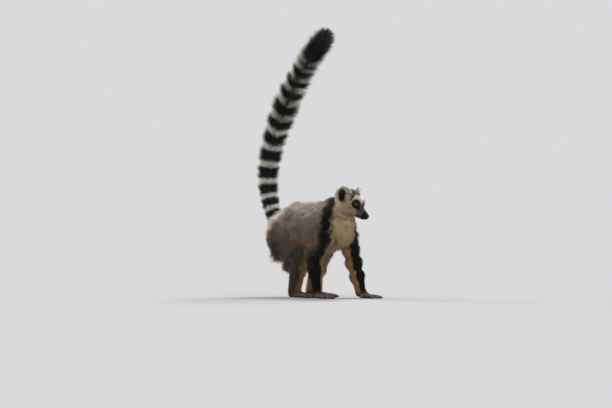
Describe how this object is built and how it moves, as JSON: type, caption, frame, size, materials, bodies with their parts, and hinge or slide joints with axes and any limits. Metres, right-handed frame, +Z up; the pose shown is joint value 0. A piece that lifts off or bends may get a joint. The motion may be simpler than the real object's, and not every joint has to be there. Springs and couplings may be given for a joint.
{
  "type": "ring-tailed lemur",
  "caption": "Life-size ring-tailed lemur standing on all fours, head turned slightly left, with a long banded tail raised in a forward curve.",
  "frame": {"origin": "on the floor, in the middle of the whole outline seen from above", "axes": "+X the way the body faces, +Y to the animal's left, +Z up"},
  "size_m": [0.4122, 0.1564, 0.7066],
  "materials": {
    "coat_grey": "grey-brown woolly fur, darker on neck and shoulders",
    "coat_pale": "short cream and white fur",
    "coat_banded": "long fur in white and black bands",
    "bare_skin": "dark bare skin, slightly moist on the nose",
    "eye": "wet amber iris with a black pupil"
  },
  "bodies": {
    "root": {"chest": "coat_grey", "belly": "coat_grey", "rump": "coat_grey", "upper_arm_left": "coat_grey", "upper_arm_right": "coat_grey", "forearm_left": "coat_grey", "forearm_right": "coat_grey", "thigh_left": "coat_grey", "thigh_right": "coat_grey", "shin_left": "coat_grey", "shin_right": "coat_grey", "neck": "coat_grey", "head": "coat_pale", "ear_left": "coat_pale", "ear_right": "coat_pale", "hand_left": "coat_pale", "hand_right": "coat_pale", "foot_left": "coat_pale", "foot_right": "coat_pale", "tail_1": "coat_banded", "tail_2": "coat_banded", "tail_3": "coat_banded", "tail_4": "coat_banded", "nose": "bare_skin", "finger_1_left": "bare_skin", "finger_1_right": "bare_skin", "finger_2_left": "bare_skin", "finger_2_right": "bare_skin", "finger_3_left": "bare_skin", "finger_3_right": "bare_skin", "finger_4_left": "bare_skin", "finger_4_right": "bare_skin", "finger_5_left": "bare_skin", "finger_5_right": "bare_skin", "toe_1_left": "bare_skin", "toe_1_right": "bare_skin", "toe_2_left": "bare_skin", "toe_2_right": "bare_skin", "toe_3_left": "bare_skin", "toe_3_right": "bare_skin", "toe_4_left": "bare_skin", "toe_4_right": "bare_skin", "toe_5_left": "bare_skin", "toe_5_right": "bare_skin", "eye_left": "eye", "eye_right": "eye"}
  },
  "joints": []
}
